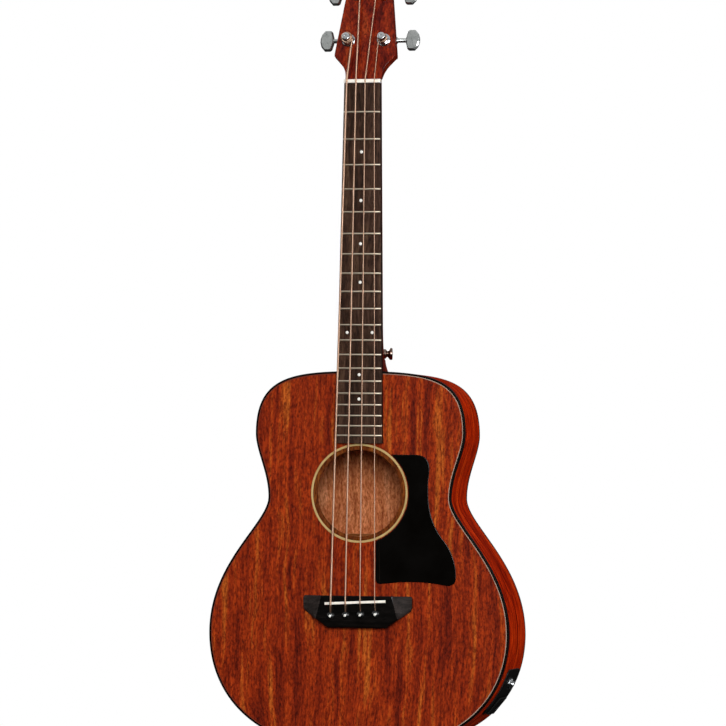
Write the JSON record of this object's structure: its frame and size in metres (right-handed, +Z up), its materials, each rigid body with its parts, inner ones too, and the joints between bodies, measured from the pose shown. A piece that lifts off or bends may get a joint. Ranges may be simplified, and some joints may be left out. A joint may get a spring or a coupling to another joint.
{
  "type": "acoustic bass guitar",
  "caption": "Small-bodied flat-top acoustic bass guitar with a fretted neck, closed geared tuners, a pinned bridge, a pickguard and a side-mounted battery box with output jack.",
  "frame": {"origin": "middle of the end strap button's flat end face, the lowest point of the upright instrument", "axes": "+Z up the neck towards the headstock, -Y out of the soundboard towards the player's audience, +X towards the treble side"},
  "size_m": [0.356, 0.1313, 0.931],
  "materials": {
    "top_mahogany": "satin, ribbon-grained",
    "side_mahogany": "gloss",
    "neck_mahogany": "gloss",
    "dark_fretboard": "open-pored, oiled",
    "inner_spruce": "raw",
    "black_plastic": "gloss",
    "black_bridge": "satin",
    "cream_ring": "gloss",
    "bone": "polished bone",
    "chrome": "polished",
    "string_bronze": "wound, polished",
    "steel": "plain",
    "battery_skin": "satin"
  },
  "bodies": {
    "instrument": {"top_plate": "top_mahogany", "sides": "side_mahogany", "back_plate": "side_mahogany", "neck": "neck_mahogany", "fretboard": "dark_fretboard", "top_lining": "inner_spruce", "back_lining": "inner_spruce", "neck_block": "inner_spruce", "tail_block": "inner_spruce", "top_x_brace": "inner_spruce", "top_cross_brace": "inner_spruce", "bridge_plate": "inner_spruce", "back_brace_1": "inner_spruce", "back_brace_2": "inner_spruce", "back_brace_3": "inner_spruce", "back_brace_4": "inner_spruce", "top_binding": "black_plastic", "back_binding": "black_plastic", "pickguard": "black_plastic", "bridge_pin_e": "black_plastic", "bridge_pin_a": "black_plastic", "bridge_pin_d": "black_plastic", "bridge_pin_g": "black_plastic", "battery_box": "black_plastic", "bridge": "black_bridge", "rosette_ring": "cream_ring", "nut": "bone", "saddle": "bone", "tuner_bushing_e": "chrome", "tuner_housing_e": "chrome", "tuner_bushing_a": "chrome", "tuner_housing_a": "chrome", "tuner_bushing_d": "chrome", "tuner_housing_d": "chrome", "tuner_bushing_g": "chrome", "tuner_housing_g": "chrome", "heel_strap_button": "chrome", "end_strap_button": "chrome", "output_jack": "chrome", "string_e": "string_bronze", "string_a": "string_bronze", "string_d": "string_bronze", "string_g": "string_bronze", "truss_rod": "steel", "saddle_pickup": "steel"},
    "tuner_knob_e": {"tuner_button_e": "chrome"},
    "string_post_e": {"tuner_post_e": "chrome", "winding_e": "string_bronze"},
    "tuner_knob_a": {"tuner_button_a": "chrome"},
    "string_post_a": {"tuner_post_a": "chrome", "winding_a": "string_bronze"},
    "tuner_knob_d": {"tuner_button_d": "chrome"},
    "string_post_d": {"tuner_post_d": "chrome", "winding_d": "string_bronze"},
    "tuner_knob_g": {"tuner_button_g": "chrome"},
    "string_post_g": {"tuner_post_g": "chrome", "winding_g": "string_bronze"},
    "rod_adjuster": {"truss_rod_nut": "steel"},
    "battery_drawer": {"battery_tray": "black_plastic", "battery": "battery_skin"}
  },
  "joints": [
    {"name": "knob_turn_e", "type": "hinge", "parent": "instrument", "child": "tuner_knob_e", "pos_m": [-0.021, -0.02263, 0.84012], "axis": [-1, 0, 0], "continuous": true},
    {"name": "post_turn_e", "type": "hinge", "parent": "instrument", "child": "string_post_e", "pos_m": [-0.021, -0.04439, 0.83884], "axis": [0, -0.9703, 0.2419], "continuous": true},
    {"name": "knob_turn_a", "type": "hinge", "parent": "instrument", "child": "tuner_knob_a", "pos_m": [-0.015, -0.00884, 0.89542], "axis": [-1, 0, 0], "continuous": true},
    {"name": "post_turn_a", "type": "hinge", "parent": "instrument", "child": "string_post_a", "pos_m": [-0.015, -0.0306, 0.89415], "axis": [0, -0.9703, 0.2419], "continuous": true},
    {"name": "knob_turn_d", "type": "hinge", "parent": "instrument", "child": "tuner_knob_d", "pos_m": [0.015, -0.00884, 0.89542], "axis": [1, 0, 0], "continuous": true},
    {"name": "post_turn_d", "type": "hinge", "parent": "instrument", "child": "string_post_d", "pos_m": [0.015, -0.0306, 0.89415], "axis": [0, -0.9703, 0.2419], "continuous": true},
    {"name": "knob_turn_g", "type": "hinge", "parent": "instrument", "child": "tuner_knob_g", "pos_m": [0.021, -0.02263, 0.84012], "axis": [1, 0, 0], "continuous": true},
    {"name": "post_turn_g", "type": "hinge", "parent": "instrument", "child": "string_post_g", "pos_m": [0.021, -0.04439, 0.83884], "axis": [0, -0.9703, 0.2419], "continuous": true},
    {"name": "rod_nut_turn", "type": "hinge", "parent": "instrument", "child": "rod_adjuster", "pos_m": [0, -0.0476, 0.3918], "axis": [0, 0, 1], "range_deg": [-180, 180]},
    {"name": "battery_drawer_slide", "type": "slide", "parent": "instrument", "child": "battery_drawer", "axis": [0.7729, 0, -0.6346], "range_m": [0, 0.045]}
  ],
  "couplings": [
    {"joint": "post_turn_e", "follows": "knob_turn_e", "ratio": 0.0625},
    {"joint": "post_turn_a", "follows": "knob_turn_a", "ratio": 0.0625},
    {"joint": "post_turn_d", "follows": "knob_turn_d", "ratio": -0.0625},
    {"joint": "post_turn_g", "follows": "knob_turn_g", "ratio": -0.0625}
  ]
}
